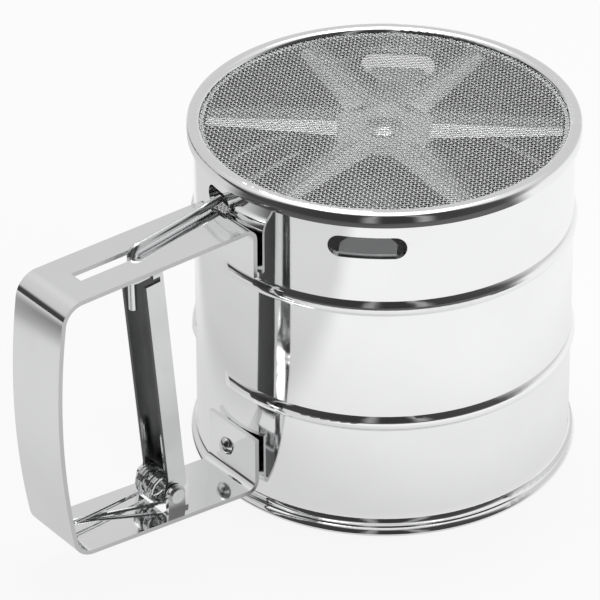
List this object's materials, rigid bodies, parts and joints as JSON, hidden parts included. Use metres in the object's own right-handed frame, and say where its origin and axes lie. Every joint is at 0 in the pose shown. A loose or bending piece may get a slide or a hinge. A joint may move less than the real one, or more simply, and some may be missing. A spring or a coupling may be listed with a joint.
{
  "type": "flour sifter",
  "caption": "Hand-squeeze flour sifter: steel cup standing on its mouth, wire screen on top, strap handle, sprung trigger and wire link to an agitator.",
  "frame": {"origin": "cup's axis, on the plane that the rolled lip of the open mouth stands on", "axes": "+Z along the cup's axis towards the screen; the handle and its middle plane lie along -X; +Y completes the right-handed frame"},
  "size_m": [0.1642, 0.1044, 0.0973],
  "materials": {
    "polished_steel": "mirror-polished stainless steel",
    "strap_steel": "mirror-polished stainless strip",
    "satin_steel": "bright rolled stainless sheet",
    "wire_mesh": "fine plain-weave stainless wire cloth",
    "wire_steel": "bright drawn wire"
  },
  "bodies": {
    "cup": {"cup_body": "polished_steel", "screen_ring": "polished_steel", "mesh_screen": "wire_mesh", "support_bridge": "satin_steel", "hub_rivet": "polished_steel", "hub_spacer": "satin_steel", "hub_washer_upper": "polished_steel", "hub_washer_lower": "polished_steel", "handle_strap": "strap_steel", "flange_rivet": "polished_steel", "trigger_pin": "wire_steel", "return_spring": "wire_steel"},
    "trigger": {"trigger_lever": "strap_steel"},
    "agitator": {"agitator_star": "satin_steel"},
    "link": {"link_wire": "wire_steel"}
  },
  "joints": [
    {"name": "trigger_squeeze", "type": "hinge", "parent": "cup", "child": "trigger", "pos_m": [-0.0752, 0, 0.0146], "axis": [0, -1, 0], "range_deg": [0, 10], "stiffness_Nm_per_rad": 1.2, "springref_deg": -11.46, "deforming": ["return_spring"]},
    {"name": "agitator_swing", "type": "hinge", "parent": "cup", "child": "agitator", "pos_m": [0, 0, 0.0924], "axis": [0, 0, 1], "range_deg": [0, 42]},
    {"name": "link_pivot", "type": "hinge", "parent": "agitator", "child": "link", "pos_m": [0.00573, 0.01494, 0.0924], "axis": [0, 0, 1], "range_deg": [-42, 0]}
  ],
  "couplings": [
    {"joint": "agitator_swing", "follows": "trigger_squeeze", "ratio": 4.2},
    {"joint": "link_pivot", "follows": "trigger_squeeze", "ratio": -4.2}
  ]
}
